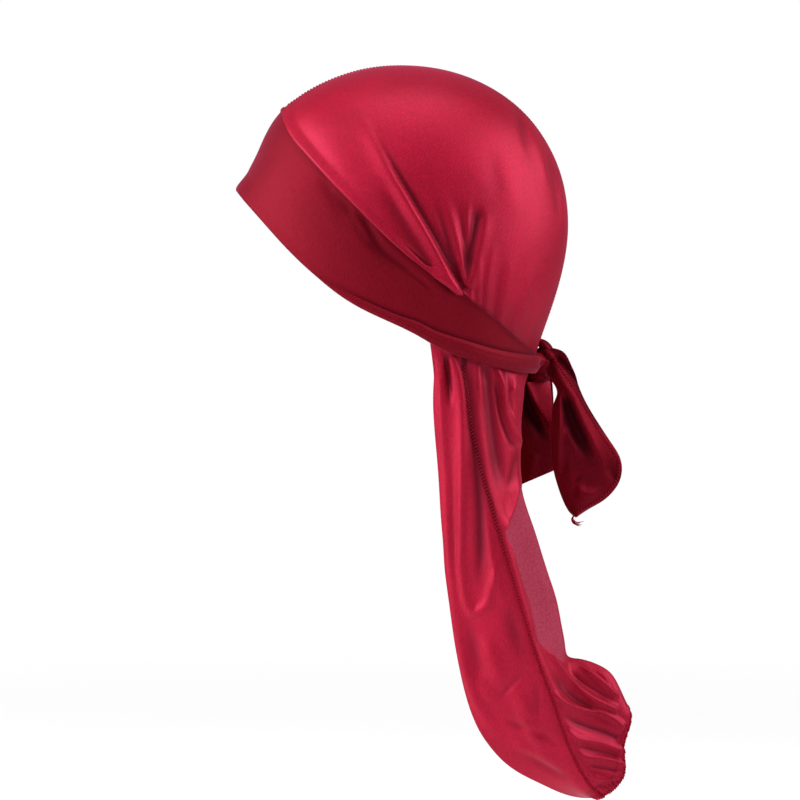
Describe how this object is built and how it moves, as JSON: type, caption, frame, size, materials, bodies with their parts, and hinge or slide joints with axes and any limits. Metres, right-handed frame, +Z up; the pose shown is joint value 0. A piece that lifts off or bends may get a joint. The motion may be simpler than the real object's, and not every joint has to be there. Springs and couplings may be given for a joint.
{
  "type": "durag",
  "caption": "Satin durag in its worn shape: two-panel crown, wide forehead band, rolled strap knotted at the nape, hanging tie ends and a long gathered tail.",
  "frame": {"origin": "inside of the crown's top, where it sits on the head", "axes": "+Z up, the forehead towards -Y and the nape towards +Y, the wearer's left towards +X"},
  "size_m": [0.162, 0.2351, 0.4433],
  "materials": {
    "satin": "glossy crimson satin",
    "dull_satin": "crimson satin, inner face and folded layers, duller",
    "thread": "overlocked thread"
  },
  "bodies": {
    "root": {"crown_panel_left": "satin", "crown_panel_right": "satin", "crown_seam": "thread", "forehead_band": "dull_satin", "strap_left": "dull_satin", "strap_right": "dull_satin", "knot_core": "dull_satin", "knot_wrap": "dull_satin", "tie_end_left": "dull_satin", "tie_end_right": "dull_satin", "tail_panel_left": "satin", "tail_panel_right": "satin", "tail_seam": "thread", "tail_hem": "thread"}
  },
  "joints": []
}
